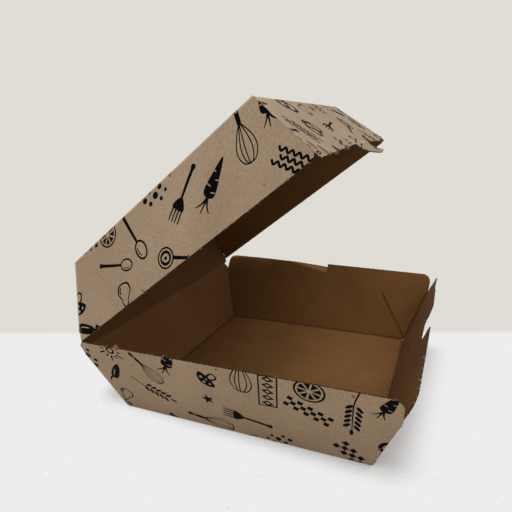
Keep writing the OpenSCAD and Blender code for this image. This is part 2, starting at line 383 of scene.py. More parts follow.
def motifLeaf():
    shapes = [(stroke([(-11, -2), (-4, 0.4), (3, 0.8), (10, 3)], 0.9, 0.5), True)]
    for x, y, turn, size in ((-7, 2.2, 1.0, 3), (-5, -3, -0.9, 3), (-1, 3.6, 0.9, 3.2), (1, -2.6, -0.8, 3.1),
                             (5.2, 4.6, 0.9, 2.6), (6.6, -1.2, -0.6, 2.5), (11.5, 3.6, 0.4, 2.2)):
        shapes.append((circle(x, y, size, 0.42, turn, 16), True))
        dx, dy = math.cos(turn) * size * 0.7, math.sin(turn) * size * 0.7
        shapes.append((stroke([(x - dx, y - dy), (x + dx, y + dy)], 0.35), False))
    return shapes


def motifFork():
    shapes = [(stroke([(-12, 0), (-4, 0.1), (2, 0)], 1.7, 0.8), True), (circle(-12, 0, 1.3), True),
              (blob([(1, 0), (3.5, 2.6), (6.4, 3.1), (6.4, -3.1), (3.5, -2.6)]), True)]
    for y in (-2.55, -0.85, 0.85, 2.55):
        shapes.append((stroke([(5.8, y), (12, y * 1.08)], 0.95, 0.7), True))
    return shapes


def motifSpoon():
    return [(stroke([(-12, 0), (-4, 0.1), (4, 0)], 1.8, 0.7), True), (circle(-12, 0, 1.3), True),
            (circle(8, 0, 4.6, 0.72), True), (circle(8, 0, 3.7, 0.66), False),
            (stroke([(6, 1.3), (8.2, 1.7), (10.2, 1.0)], 0.5), True)]


def motifWhisk():
    shapes = [(stroke([(-13, 0), (-5, 0)], 2.1, 0.9), True), (circle(-13, 0, 1.2), True),
              (stroke([(-11.5, 0), (-9.5, 0)], 0.6), False)]
    for bulge in (4.4, 2.4, 0.6, -2.4, -4.4):
        shapes.append((stroke([(-5, bulge * 0.1), (1, bulge * 0.8), (6, bulge), (10, bulge * 0.6), (11, 0)],
                              0.5), True))
    return shapes


def motifWheat():
    shapes = [(stroke([(-13, -1), (-5, 0.5), (3, 0.4), (11, 0)], 0.7, 0.6), True)]
    for i in range(5):
        x = -2.5 + i * 2.9
        shapes.append((circle(x, 2.2, 1.9, 0.46, 0.7, 14), True))
        shapes.append((circle(x + 0.4, -1.8, 1.9, 0.46, -0.7, 14), True))
    shapes.append((circle(13, 0, 1.9, 0.42, 0, 14), True))
    return shapes


def motifCitrus():
    shapes = [(circle(0, 0, 6.6, count=36), True), (circle(0, 0, 5.7, count=36), False)]
    for i in range(8):
        a = math.pi / 4 * i + 0.2
        wedge = [(0.9 * math.cos(a), 0.9 * math.sin(a))]
        wedge += [(4.9 * math.cos(a + d), 4.9 * math.sin(a + d)) for d in (-0.3, -0.15, 0, 0.15, 0.3)]
        shapes.append((wedge, True))
    return shapes


def motifMushroom():
    shapes = [(blob([(-5.8, 0.2), (-4.4, 3.8), (0, 5.6), (4.4, 3.8), (5.8, 0.2), (0, -0.9)]), True),
              (blob([(-1.8, -0.6), (1.8, -0.6), (2.3, -4.8), (0, -5.8), (-2.3, -4.8)]), True),
              (blob([(-0.9, -1.4), (0.9, -1.4), (1.3, -4.5), (-1.3, -4.5)]), False)]
    for x, y, r in ((-2.6, 2.4, 0.9), (0.8, 3.7, 0.8), (3.3, 1.8, 0.7), (0, 1.1, 0.6)):
        shapes.append((circle(x, y, r, count=12), False))
    return shapes


def motifCarrot():
    shapes = [(blob([(-9.5, 0), (-2, 2.0), (4.6, 2.9), (6.4, 0), (4.6, -2.9), (-2, -2.0)]), True)]
    for x, s in ((-4, 1), (-1.2, -1), (1.6, 1), (3.6, -1)):
        shapes.append((stroke([(x, s * 2.6), (x + 0.4, s * 0.6)], 0.45), False))
    for end in ((11.5, 3.6), (12.6, 0.6), (11.2, -3.2)):
        shapes.append((stroke([(6.2, 0), (9, end[1] * 0.4), end], 1.1, 0.4), True))
    return shapes


def motifPretzel():
    shapes = [(stroke([(-0.4, -5), (-5.4, -2.6), (-6.4, 2.2), (-3.4, 4.8), (-0.4, 2.8), (2.4, -1.4), (4.4, -4.4)],
                      1.7), True),
              (stroke([(0.4, -5), (5.4, -2.6), (6.4, 2.2), (3.4, 4.8), (0.4, 2.8), (-2.4, -1.4), (-4.4, -4.4)],
                      1.7), True),
              (stroke([(-3, -5.3), (0, -5.7), (3, -5.3)], 1.9), True)]
    for x, y in ((-5.9, 1), (5.9, 1), (-3.2, 4.8), (3.2, 4.8), (0, -5.6), (-1.5, 0.9), (1.6, 1.0)):
        shapes.append((circle(x, y, 0.3, count=8), False))
    return shapes


def motifBurst():
    shapes = []
    for i in range(12):
        a = math.pi / 6 * i
        near, far = (3.4, 6.8) if i % 2 else (3.4, 5.2)
        shapes.append((stroke([(near * math.cos(a), near * math.sin(a)), (far * math.cos(a), far * math.sin(a))],
                              1.1, 0.5), True))
    return shapes + [(circle(0, 0, 2.2), True), (circle(0, 0, 1.2), False)]


def motifWaves():
    shapes = []
    for row, (start, end) in enumerate(((-9, 8), (-7, 10), (-10, 6))):
        count = int((end - start) / 1.7)
        path = [(start + 1.7 * i, (row - 1) * 2.9 + (0.8 if i % 2 else -0.8)) for i in range(count + 1)]
        shapes.append((stroke(path, 1.15), True))
    return shapes


def motifZigzag():
    shapes = []
    for row in (-1, 1):
        path = [(-11 + 2.2 * i, row * 2.4 + (1.5 if i % 2 else -1.5)) for i in range(11)]
        shapes.append((stroke(path, 1.5, smooth=False), True))
    return shapes


def motifChecks():
    shapes = []
    for i in range(9):
        for j in range(3):
            if (i + j) % 2 == 0:
                x, y = (i - 4.5) * 2.3, (j - 1.5) * 2.3
                shapes.append(([(x, y), (x + 2.3, y), (x + 2.3, y + 2.3), (x, y + 2.3)], True))
    return shapes


def motifBlock():
    # leaning block of diamonds with a drawn frame
    frameLine = [(-11, -4.4), (9.4, -4.4), (11, 4.4), (-9.4, 4.4)]
    shapes = [(frameLine, True), ([(x * 0.93, y * 0.84) for x, y in frameLine], False)]
    for i in range(5):
        x = -8 + 4 * i
        shapes.append(([(x - 1.7, 0), (x + 0.2, -2.9), (x + 1.9, 0), (x + 0.1, 2.9)], True))
        shapes.append(([(x - 0.7, 0), (x + 0.1, -1.2), (x + 0.9, 0), (x + 0.1, 1.2)], False))
    return shapes


def motifDots():
    spots = ((-5, 0, 1.3), (-2.2, 2.5, 1.0), (-1.8, -2.4, 1.1), (1.2, 0.3, 1.5), (3.9, 2.8, 0.9), (4.3, -2.2, 1.2),
             (7, 0.4, 0.8))
    return [(circle(x, y, r, count=16), True) for x, y, r in spots]


def motifPan():
    return [(circle(-4, 0, 5.4, count=32), True), (circle(-4, 0, 4.5, count=32), False),
            (circle(-4, 0, 3.7, count=28), True), (blob([(-6.6, 0.4), (-4.4, 2.2), (-1.8, 1.2), (-2.2, -1.6),
                                                       (-5, -2)]), False),
            (circle(-4, 0.1, 0.95, count=14), True), (stroke([(1.2, 0), (10.5, 0.6)], 1.9, 0.8), True),
            (circle(10.6, 0.6, 1.2), True), (circle(10.7, 0.6, 0.5, count=10), False)]


def motifPepper():
    body = [(-7.4, -3.4), (-5, -0.6), (-1, 1.6), (3.4, 3.1), (5.4, 1.6), (4.9, -0.8), (0.5, -2.8), (-4, -3.8)]
    return [(blob(body), True), (stroke([(4.4, 1.8), (6.2, 3.8), (8.6, 4.4)], 1.3, 0.6), True),
            (stroke([(-2.4, -0.6), (1.2, 0.8), (3.2, 1.2)], 0.5), False)]


def motifPear():
    body = [(0, 5.2), (1.8, 3.4), (2.4, 1), (4.2, -1.8), (3.2, -5), (0, -5.9), (-3.2, -5), (-4.2, -1.8),
            (-2.4, 1), (-1.8, 3.4)]
    return [(blob(body), True), (blob([(x * 0.8, y * 0.84 - 0.2) for x, y in body]), False),
            (stroke([(0, 5), (0.5, 6.6), (1.5, 7.8)], 0.9), True), (circle(3.2, 6.9, 2.0, 0.45, 0.3, 16), True),
            (stroke([(-2.3, -1.2), (-2.6, -2.8), (-1.9, -4.2)], 0.7), True)]


def motifStar(points=5):
    path = []
    for i in range(2 * points):
        r = 3.4 if i % 2 == 0 else 1.5
        a = math.pi * i / points + 0.3
        path.append((r * math.cos(a), r * math.sin(a)))
    return [(path, True)]


motifs = {"leaf": motifLeaf, "fork": motifFork, "spoon": motifSpoon, "whisk": motifWhisk, "wheat": motifWheat,
          "citrus": motifCitrus, "mushroom": motifMushroom, "carrot": motifCarrot, "pretzel": motifPretzel,
          "burst": motifBurst, "waves": motifWaves, "zigzag": motifZigzag, "checks": motifChecks,
          "block": motifBlock, "dots": motifDots, "pan": motifPan, "pepper": motifPepper, "pear": motifPear,
          "star": motifStar}


def printOn(placed):
    # each entry is (motif, x, y, turn in degrees, scale) on the flat sheet
    shapes = []
    for name, x, y, turn, scale in placed:
        a = math.radians(turn)
        cosA, sinA = math.cos(a) * scale, math.sin(a) * scale
        for outline, ink in motifs[name]():
            moved = [(x + px * cosA - py * sinA, y + px * sinA + py * cosA) for px, py in outline]
            shapes.append({"outline": moved, "finish": finishNumber["Print" if ink else "Outside"]})
    return shapes


printLayout = {
    "pitch": 14.6,
    "jitter": 2.5,
    "scale": 0.9, "sizes": (0.85, 1.12),
    "gap": 0.9,             # clear card round a motif
    "turns": (-80, -62, -35, -12, 8, 28, 55, 76, 100, 160),
    "unlike": 11,           # how many motifs in a row all differ
    "tries": 30,
}


def scatterPrint(reach, seed):
    # drops motifs on a jittered grid, turned any way, so that none touches another
    pick = random.Random(seed)
    pitch, jitter = printLayout["pitch"], printLayout["jitter"]
    names = sorted(motifs)
    extent = {}
    for name in names:
        corners = numpy.array([p for outline, _ in motifs[name]() for p in outline])
        extent[name] = (numpy.abs(corners[:, 0]).max(), numpy.abs(corners[:, 1]).max())
    placed, taken, lately = [], [], []
    count = int(2 * reach / pitch) + 1
    for row in range(count):
        for column in range(count):
            x = (column - (count - 1) / 2 + (0.5 if row % 2 else 0)) * pitch + pick.uniform(-jitter, jitter)
            y = (row - (count - 1) / 2) * pitch + pick.uniform(-jitter, jitter)
            for _ in range(printLayout["tries"]):
                name, turn = pick.choice(names), pick.choice(printLayout["turns"])
                size = printLayout["scale"] * pick.uniform(*printLayout["sizes"])
                long, wide = extent[name][0] * size, extent[name][1] * size
                a = math.radians(turn)
                across = max(1, int(long / wide) * 2 - 1)
                spots = [(i - (across - 1) / 2) * 2 * (long - wide) / max(across - 1, 1) for i in range(across)]
                discs = [(x + s * math.cos(a), y + s * math.sin(a), wide + printLayout["gap"]) for s in spots]
                clear = all(math.hypot(px - qx, py - qy) > pr + qr
                            for px, py, pr in discs for qx, qy, qr in taken)
                if clear and name not in lately[-printLayout["unlike"]:]:
                    placed.append((name, x, y, turn, size))
                    taken += discs
                    lately.append(name)
                    break
    return placed


tray = {
    "width": 112.4, "depth": 111.4, "height": 38.0,
    "sideFlare": 14.2, "frontFlare": 14.8, "backFlare": 10.7,
    "cover": 1.0,           # share of the height that the side walls reach
    "frontRise": 0.6, "rimCorner": 4.0, "frontCorner": (4.0, 4.0), "frontReach": 0.0, "backCorner": 6.5,
    # cut and folded a little askew, as the real one is; 1 is the +X side, -1 the -X side
    "rimSkew": {1: (-1.2, 1.5), -1: (0.4, -0.8)}, "frontSkew": (0.0, -1.5),
    "frontLean": 0.7,       # how far a side wall's free front edge still leans past its tab
    "spring": {1: 0.0, -1: 1.5}, "backReach": {1: -1.5, -1: 1.4},
    "shoulder": {1: (3.4, 2.0), -1: (0, 0)},    # cut back, and how far down it starts
    "nicks": {1: ((51, 0.5), (20, 0.4)), -1: ((-51, 1.0), (1, 1.0), (47, 1.1), (-24, 0.5), (22, 0.6))},
    "frontNicks": ((-40, 0.6), (34, 0.8), (20, 0.6)),
    "slit": {"end": 1, "at": -6.0, "depth": 5.5, "length": 26.0, "lip": 9.0, "bend": 0.8, "way": -1},
    "crease": 35.22,        # the hinge, up the slope of the back wall
    "frontTab": 29.0, "frontTabLength": 26.0, "backTab": 31.42, "backTabLength": 27.0,
    "notch": {"x": -1.0, "width": 19.0, "depth": 8.4, "slant": 6.0, "lipRadius": 7.0, "beak": 0.5},
    # how far panels leave their planes: where each bow starts and how far it takes to grow
    "tabLift": {"most": 0.6, "up": (9.0, 16.0)},
    "frontBow": {"most": 0.5, "halfWidth": 62.0, "height": 40.0},
    "cornerBow": {"most": 1.3, "across": (46.0, 23.0), "up": (22.0, 17.0)},
    "lift": 0.5,            # the underside stands on z = 0
    "printReach": 98.0, "printSeed": 3,
}

lid = {
    "width": 112.196, "depth": 109.371, "height": 33.2,
    "sideFlare": 13.753, "frontFlare": 10.604, "backFlare": 11.4,
    "cover": 30.9 / 33.2,
    "frontRise": 0.0, "rimCorner": 2.5, "frontCorner": (2.5, 1.0), "frontReach": 1.6, "backCorner": 0.5,
    "rimSkew": {1: (0, 0), -1: (0, 0)}, "frontSkew": (0.0, 0.8),
    "frontLean": 2.2,
    "spring": {1: 0.5, -1: 0.0}, "backReach": {1: 0.6, -1: 1.5},
    "shoulder": {1: (0.0, 0.0), -1: (0.8, 0.4)},
    "nicks": {1: ((-20, 0.8), (22, 0.9), (40, 0.7), (-44, 0.7)), -1: ((10, 0.5),)},
    "frontNicks": ((44, 0.9), (24, 1.0)),
    "slit": {"end": 0},
    "crease": 35.10,
    "frontTab": 26.4, "frontTabLength": 26.0, "backTab": 28.6, "backTabLength": 27.0,
    "tongue": {"right": 24.5, "width": 31.0, "length": 6.2, "hook": 18.4, "slot": 1.6, "bend": 6.0,
               "rise": 1.8},
    "tongueLift": {"most": 0.6, "along": (12.0, 20.0)},
    "middle": -0.835, "top": 67.6, "open": 36.4,
    "printReach": 92.0, "printSeed": 8,
}

hinge = {
    "y": 65.765, "z": 34.4, "reach": 68.568,
    "trayBead": 0.3, "lidBead": 0.29,       # radius of the pressed ridge on each half
    "beadSides": 14, "beadEnd": 0.12, "beadEndWidth": 0.55,
    "cutBack": 2.5,         # how far the ridge stops short of its +X end
}


def besideFold(panel, points):
    # 1 in the strip that bends at the panel's fold, fading to 0 beside it
    origin, along, outward = (numpy.array(panel[key]) for key in ("origin", "along", "outward"))
    zone, rim = panel["zone"], numpy.array(panel["outline"]) - origin
    ends = (rim @ along)[numpy.abs(rim @ outward) < 2 * zone]
    u, v = (points - origin) @ along, numpy.abs((points - origin) @ outward)
    return numpy.clip((3 * zone - v) / (2 * zone), 0, 1) * ((u > ends.min() - 0.1) & (u < ends.max() + 0.1))


def flatMesh(name, panels, shapes, bow):
    # card with two faces and its cut edges, still flat, in metres; each point knows the folds that it follows
    verts, faces, owner, inked = cutSheet(panels, shapes)
    used = numpy.unique(faces)
    place = numpy.full(len(verts), -1)
    place[used] = numpy.arange(len(used))
    verts, faces = verts[used], place[faces]
    count = len(verts)
    panelOf = numpy.full(count, len(panels))
    for corner in range(3):
        numpy.minimum.at(panelOf, faces[:, corner], owner)

    pairs = numpy.concatenate([faces[:, [0, 1]], faces[:, [1, 2]], faces[:, [2, 0]]])
    known = set(map(tuple, pairs))
    rimEdges = numpy.array([p for p in known if (p[1], p[0]) not in known])
    walls = numpy.concatenate([
        numpy.stack([rimEdges[:, 0], rimEdges[:, 0] + count, rimEdges[:, 1] + count], 1),
        numpy.stack([rimEdges[:, 0], rimEdges[:, 1] + count, rimEdges[:, 1]], 1)])
    allFaces = numpy.concatenate([faces, faces[:, ::-1] + count, walls])
    # the lid's inner face takes the darker copy of the inside finish: painted shade
    within = finishNumber["Lid inside" if name == "lidSheet" else "Inside"]
    finish = numpy.concatenate([numpy.full(len(faces), within), inked,
                                numpy.full(len(walls), finishNumber["Raw edge"])])
    flat = numpy.zeros((2 * count, 3))
    flat[:, :2] = numpy.concatenate([verts, verts])
    flat[count:, 2] = -card["thickness"]

    mesh = bpy.data.meshes.new(name)
    mesh.from_pydata(flat * mm, [], allFaces.tolist())
    bent = flat.copy()
    for paint in finishes.values():
        mesh.materials.append(paint)
    fold = {key: numpy.zeros((2 * count, 3)) for key in ("pointA", "outA", "pointB", "outB")}
    angle = {"angleA": numpy.zeros(2 * count), "angleB": numpy.zeros(2 * count)}
    crease, rise = numpy.zeros(2 * count), numpy.zeros(2 * count)
    fold["outA"][:, 0] = fold["outB"][:, 0] = 1
    for i, panel in enumerate(panels):
        mine = numpy.nonzero(panelOf == i)[0]
        local = verts[mine] - numpy.array(panel["origin"])
        u, v = local @ numpy.array(panel["along"]), local @ numpy.array(panel["outward"])
        rise[mine], sink = bow(panel["name"], u, v)
        for rows in (mine, mine + count):
            bent[rows, :2] -= numpy.array(panel["outward"]) * sink[:, None]
        for (point, out, turn), key in zip(panel["folds"][::-1], "BA"):
            for rows in (mine, mine + count):
                fold["point" + key][rows, :2] = numpy.array(point) * mm
                fold["out" + key][rows, :2] = out
                angle["angle" + key][rows] = turn
    for panel in panels:
        if panel["zone"]:
            crease[:count] = numpy.maximum(crease[:count], besideFold(panel, verts))
    crease[count:], rise[count:] = crease[:count], rise[:count]
    for key, values in fold.items():
        mesh.attributes.new(key, "FLOAT_VECTOR", "POINT").data.foreach_set("vector", values.ravel())
    for key, values in (("crease", crease), ("rise", rise * mm), *angle.items()):
        mesh.attributes.new(key, "FLOAT", "POINT").data.foreach_set("value", values)
    torn = numpy.zeros(2 * count)
    for panel in panels:
        for u, v, share in panel.get("nicks", []):
            spot = numpy.array(onSheet(panel, [(u, v)])[0])
            torn[numpy.argmin(numpy.linalg.norm(verts - spot, axis=1))] = share
    mesh.attributes.new("nick", "FLOAT", "POINT").data.foreach_set("value", torn)
    mesh.attributes.new("finish", "INT", "FACE").data.foreach_set("value", finish.astype(int))
    sheetMap = mesh.uv_layers.new(name="sheet")
    corners = allFaces.ravel()
    sheetMap.data.foreach_set("uv", (flat[corners, :2] / sheetUnit).ravel())
    mesh.vertices.foreach_set("co", (bent * mm).ravel())
    mesh.validate()
    print(name, "flat sheet:", len(allFaces), "triangles,", len(rimEdges), "edges round its cut")
    return mesh


# Helpers for node trees

def newGroup(name, kind, inputs, outputs):
    # each socket is (label, type) or (label, type, value)
    tree = bpy.data.node_groups.new(name, kind)
    for way, sockets in (("INPUT", inputs), ("OUTPUT", outputs)):
        for label, socketType, *value in sockets:
            socket = tree.interface.new_socket(label, in_out=way, socket_type="NodeSocket" + socketType)
            if value:
                socket.default_value = value[0]
    return tree, tree.nodes.new("NodeGroupInput").outputs, tree.nodes.new("NodeGroupOutput").inputs


def addNode(tree, kind, **settings):
    node = tree.nodes.new(kind)
    for key, value in settings.items():
        setattr(node, key, value)
    return node


def feed(tree, *pairs):
    # a socket is linked, a plain value is set, None is left
    for socket, value in pairs:
        if isinstance(value, bpy.types.NodeSocket):
            tree.links.new(value, socket)
        elif value is not None:
            socket.default_value = value


def wire(tree, *pairs):
    for source, target in pairs:
        tree.links.new(source, target)


def mathNode(tree, kind, a, b=None):
    node = addNode(tree, "ShaderNodeMath", operation=kind)
    feed(tree, *zip(node.inputs, (a, b)))
    return node.outputs[0]


def vectorNode(tree, kind, a, b=None, scale=None):
    node = addNode(tree, "ShaderNodeVectorMath", operation=kind)
    feed(tree, (node.inputs[0], a), (node.inputs[1], b), (node.inputs[3], scale))
    return node.outputs["Value" if kind == "DOT_PRODUCT" else "Vector"]


def kept(tree, name, kind):
    # an attribute that the flat sheet's mesh carries
    node = addNode(tree, "GeometryNodeInputNamedAttribute", data_type=kind)
    node.inputs["Name"].default_value = name
    return node.outputs["Attribute"]


# Geometry Nodes: the rule that folds the flat sheet

def bendGroup():
    # one fold: points past the line turn round it, points in its strip lie on its arc
    tree, given, result = newGroup("bendAtFold", "GeometryNodeTree", [
        ("Position", "Vector"), ("Fold point", "Vector"), ("Outward", "Vector"), ("Angle", "Float"),
        ("Radius", "Float")], [("Position", "Vector")])
    up = tree.nodes.new("ShaderNodeCombineXYZ")
    up.inputs["Z"].default_value = 1
    up = up.outputs[0]
    away = vectorNode(tree, "SUBTRACT", given["Position"], given["Fold point"])
    out = vectorNode(tree, "DOT_PRODUCT", away, given["Outward"])
    height = vectorNode(tree, "DOT_PRODUCT", away, up)
    half = mathNode(tree, "MULTIPLY", given["Radius"],
                    mathNode(tree, "TANGENT", mathNode(tree, "MULTIPLY", given["Angle"], 0.5)))
    strip = mathNode(tree, "MULTIPLY", half, 2.0)
    run = mathNode(tree, "ADD", out, half)
    share = mathNode(tree, "DIVIDE", run, mathNode(tree, "MAXIMUM", strip, 1e-7))
    share = mathNode(tree, "MINIMUM", mathNode(tree, "MAXIMUM", share, 0.0), 1.0)
    turn = mathNode(tree, "MULTIPLY", share, given["Angle"])
    rest = mathNode(tree, "ADD", mathNode(tree, "MAXIMUM", mathNode(tree, "SUBTRACT", run, strip), 0.0),
                    mathNode(tree, "MINIMUM", run, 0.0))
    line = vectorNode(tree, "SUBTRACT", given["Position"],
                      vectorNode(tree, "SCALE", given["Outward"], scale=out))
    line = vectorNode(tree, "SUBTRACT", line, vectorNode(tree, "SCALE", up, scale=height))
    centre = vectorNode(tree, "SUBTRACT", line, vectorNode(tree, "SCALE", given["Outward"], scale=half))
    centre = vectorNode(tree, "ADD", centre, vectorNode(tree, "SCALE", up, scale=given["Radius"]))
    arm = vectorNode(tree, "SCALE", given["Outward"], scale=rest)
    arm = vectorNode(tree, "ADD", arm, vectorNode(
        tree, "SCALE", up, scale=mathNode(tree, "SUBTRACT", height, given["Radius"])))
    rotate = tree.nodes.new("ShaderNodeVectorRotate")
    wire(tree, (arm, rotate.inputs["Vector"]), (turn, rotate.inputs["Angle"]),
         (vectorNode(tree, "CROSS_PRODUCT", given["Outward"], up), rotate.inputs["Axis"]),
         (vectorNode(tree, "ADD", centre, rotate.outputs[0]), result[0]))
    return tree


def foldTree(finishes):
    tree, given, result = newGroup(
        "foldSheet", "GeometryNodeTree", [("Sheet", "Geometry"), ("Fold radius", "Float"), ("Bow", "Float"),
                                          *((label, "Material") for label in finishes)], [("Box", "Geometry")])
    bend = bendGroup()
    rise = tree.nodes.new("ShaderNodeCombineXYZ")
    wire(tree, (mathNode(tree, "MULTIPLY", kept(tree, "rise", "FLOAT"), given["Bow"]), rise.inputs["Z"]))
    place = vectorNode(tree, "ADD", tree.nodes.new("GeometryNodeInputPosition").outputs[0], rise.outputs[0])
    for key in "AB":
        group = addNode(tree, "GeometryNodeGroup", node_tree=bend)
        wire(tree, (place, group.inputs["Position"]),
             (kept(tree, "point" + key, "FLOAT_VECTOR"), group.inputs["Fold point"]),
             (kept(tree, "out" + key, "FLOAT_VECTOR"), group.inputs["Outward"]),
             (kept(tree, "angle" + key, "FLOAT"), group.inputs["Angle"]),
             (given["Fold radius"], group.inputs["Radius"]))
        place = group.outputs[0]
    move = tree.nodes.new("GeometryNodeSetPosition")
    realize = tree.nodes.new("GeometryNodeRealizeInstances")
    wire(tree, (given["Sheet"], move.inputs["Geometry"]), (place, move.inputs["Position"]),
         (move.outputs[0], realize.inputs[0]))
    shown = realize.outputs[0]
    for number, label in enumerate(finishes):
        same = addNode(tree, "FunctionNodeCompare", data_type="INT", operation="EQUAL")
        paint = tree.nodes.new("GeometryNodeSetMaterial")
        feed(tree, (same.inputs[2], kept(tree, "finish", "INT")), (same.inputs[3], number))
        wire(tree, (same.outputs[0], paint.inputs["Selection"]), (given[label], paint.inputs["Material"]),
             (shown, paint.inputs["Geometry"]))
        shown = paint.outputs[0]
    wire(tree, (shown, result[0]))
    return tree


def runTree(obj, tree, values):
    # sets the tree's named inputs, then keeps its result as a plain mesh
    modifier = obj.modifiers.new(tree.name, "NODES")
    modifier.node_group = tree
    for item in tree.interface.items_tree:
        if item.in_out == "INPUT" and item.name in values:
            modifier[item.identifier] = values[item.name]
    seen = bpy.context.evaluated_depsgraph_get()
    made = bpy.data.meshes.new_from_object(obj.evaluated_get(seen))
    obj.modifiers.remove(modifier)
    obj.data = made
    return obj


# Materials. Patterns read the sheet's own map, so they run on over the folds.

pulp = {
    "cloud": 2.2,           # scales of noise on the sheet's map
    "mottle": 75.0, "fine": 190.0,
    "grain": (0.36, 0.64),
    "strands": ((0.25, 26.0), (1.4, 20.0), (-0.7, 30.0)),       # turn and scale of each lay of fibres
    "strandLength": 7.0, "strandFrom": (0.58, 0.72),
    "specks": 105.0, "speckFrom": (0.66, 0.75),
    "patches": 14.0, "patchFrom": (0.36, 0.62),
}


def noise(tree, vector, scale, detail=3.0, roughness=0.55):
    node = tree.nodes.new("ShaderNodeTexNoise")
    feed(tree, (node.inputs["Vector"], vector), (node.inputs["Scale"], scale), (node.inputs["Detail"], detail),
         (node.inputs["Roughness"], roughness))
    return node.outputs["Fac"]


def between(tree, value, low, high):
    node = addNode(tree, "ShaderNodeMapRange", interpolation_type="SMOOTHSTEP")
    feed(tree, (node.inputs["Value"], value), (node.inputs["From Min"], low), (node.inputs["From Max"], high))
    return node.outputs["Result"]


def mixColour(tree, share, a, b):
    node = addNode(tree, "ShaderNodeMix", data_type="RGBA")
    feed(tree, (node.inputs[0], share), (node.inputs[6], a), (node.inputs[7], b))
    return node.outputs[2]


def stretched(tree, vector, scaleY, turn):
    node = tree.nodes.new("ShaderNodeMapping")
    feed(tree, (node.inputs["Vector"], vector), (node.inputs["Scale"], (1, scaleY, 1)),
         (node.inputs["Rotation"], (0, 0, turn)))
    return node.outputs[0]


def fibreGroup():
    # pulp: cloudy tone, mottled grain, crossing fibres, dark specks
    tree, given, result = newGroup(
        "pulpFibre", "ShaderNodeTree",
        [("Vector", "Vector"), ("Cloud", "Float", pulp["cloud"]), ("Fibre", "Float", 1.0)],
        [("Cloud", "Float"), ("Grain", "Float"), ("Pale fibre", "Float"), ("Speck", "Float"), ("Height", "Float")])
    cloud = noise(tree, given["Vector"], given["Cloud"], 4.0, 0.6)
    mottle = noise(tree, stretched(tree, given["Vector"], 1.5, 0.3), pulp["mottle"], 3.0, 0.75)
    fine = noise(tree, given["Vector"], pulp["fine"], 3.0, 0.6)
    grain = between(tree, mathNode(tree, "ADD", mathNode(tree, "MULTIPLY", mottle, 0.65),
                                   mathNode(tree, "MULTIPLY", fine, 0.35)), *pulp["grain"])
    strands = None
    for turn, lengthways in pulp["strands"]:
        line = noise(tree, stretched(tree, given["Vector"], pulp["strandLength"], turn), lengthways, 2.0, 0.5)
        strand = between(tree, line, *pulp["strandFrom"])
        strands = strand if strands is None else mathNode(tree, "MAXIMUM", strands, strand)
    specks = between(tree, noise(tree, given["Vector"], pulp["specks"], 1.5, 0.5), *pulp["speckFrom"])
    height = mathNode(tree, "ADD", mathNode(tree, "MULTIPLY", strands, 0.5),
                      mathNode(tree, "ADD", mathNode(tree, "MULTIPLY", mottle, 0.6), fine))
    wire(tree, (cloud, result["Cloud"]), (grain, result["Grain"]),
         (mathNode(tree, "MULTIPLY", strands, given["Fibre"]), result["Pale fibre"]),
         (mathNode(tree, "MULTIPLY", specks, given["Fibre"]), result["Speck"]),
         (height, result["Height"]))
    return tree


def creaseWearShadeGroup():
    # folds change tone, partly in broken patches: paler wear on the outside, painted shade in the inside creases
    tree, given, result = newGroup(
        "creaseWearAndShade", "ShaderNodeTree", [("Crease", "Float", 0.0), ("Vector", "Vector"), ("Even", "Float", 0.1),
                                       ("Patchy", "Float", 0.5)], [("Wear", "Float")])
    patch = between(tree, noise(tree, given["Vector"], pulp["patches"], 3.0, 0.6), *pulp["patchFrom"])
    share = mathNode(tree, "ADD", mathNode(tree, "MULTIPLY", patch, given["Patchy"]), given["Even"])
    wire(tree, (mathNode(tree, "MULTIPLY", given["Crease"], share), result["Wear"]))
    return tree


def colourOf(red, green, blue):
    # screen colour 0-255 to the linear colour that Blender works in
    linear = [(c / 255 / 12.92) if c <= 10 else ((c / 255 + 0.055) / 1.055) ** 2.4 for c in (red, green, blue)]
    return (*linear, 1.0)


kraft = {
    "outside": (183, 158, 131), "outsideDark": (165, 140, 113), "outsidePale": (202, 180, 154),
    "inside": (151, 106, 57), "insideDark": (132, 90, 45), "insidePale": (170, 129, 84),
    # the inside's fold tone is painted shade: its folds and corner seams made darker
    "insideFoldShade": (88, 54, 24),
    # the lid's inside tones are the inside tones made darker: painted shade, as the lid's underside gets little light
    "lidInsidePaintedShade": (126, 85, 44), "lidInsidePaintedShadeDark": (110, 72, 34),
    # the raw edge tones are darker than the cut card: partly its own darker core, partly painted shade along the rims
    "rawEdge": (60, 36, 20), "rawDark": (34, 19, 10), "rawPale": (198, 172, 146),
    "crumb": (176, 148, 120), "crumbDark": (104, 74, 48), "crumbPale": (226, 206, 184),
    "ink": (4, 4, 5), "inkThin": (24, 20, 18),
    "grain": 0.62, "grainDarker": 0.84,
    "fibreShare": 0.14,
    "speckShare": 0.7, "speckDarker": 0.55,
    "roughness": 0.76, "inkRoughness": 0.66, "roughSpread": 0.1,
    "specular": 0.3, "inkSpecular": 0.05,
    "relief": 0.1,          # depth of the fibres, in millimetres
}


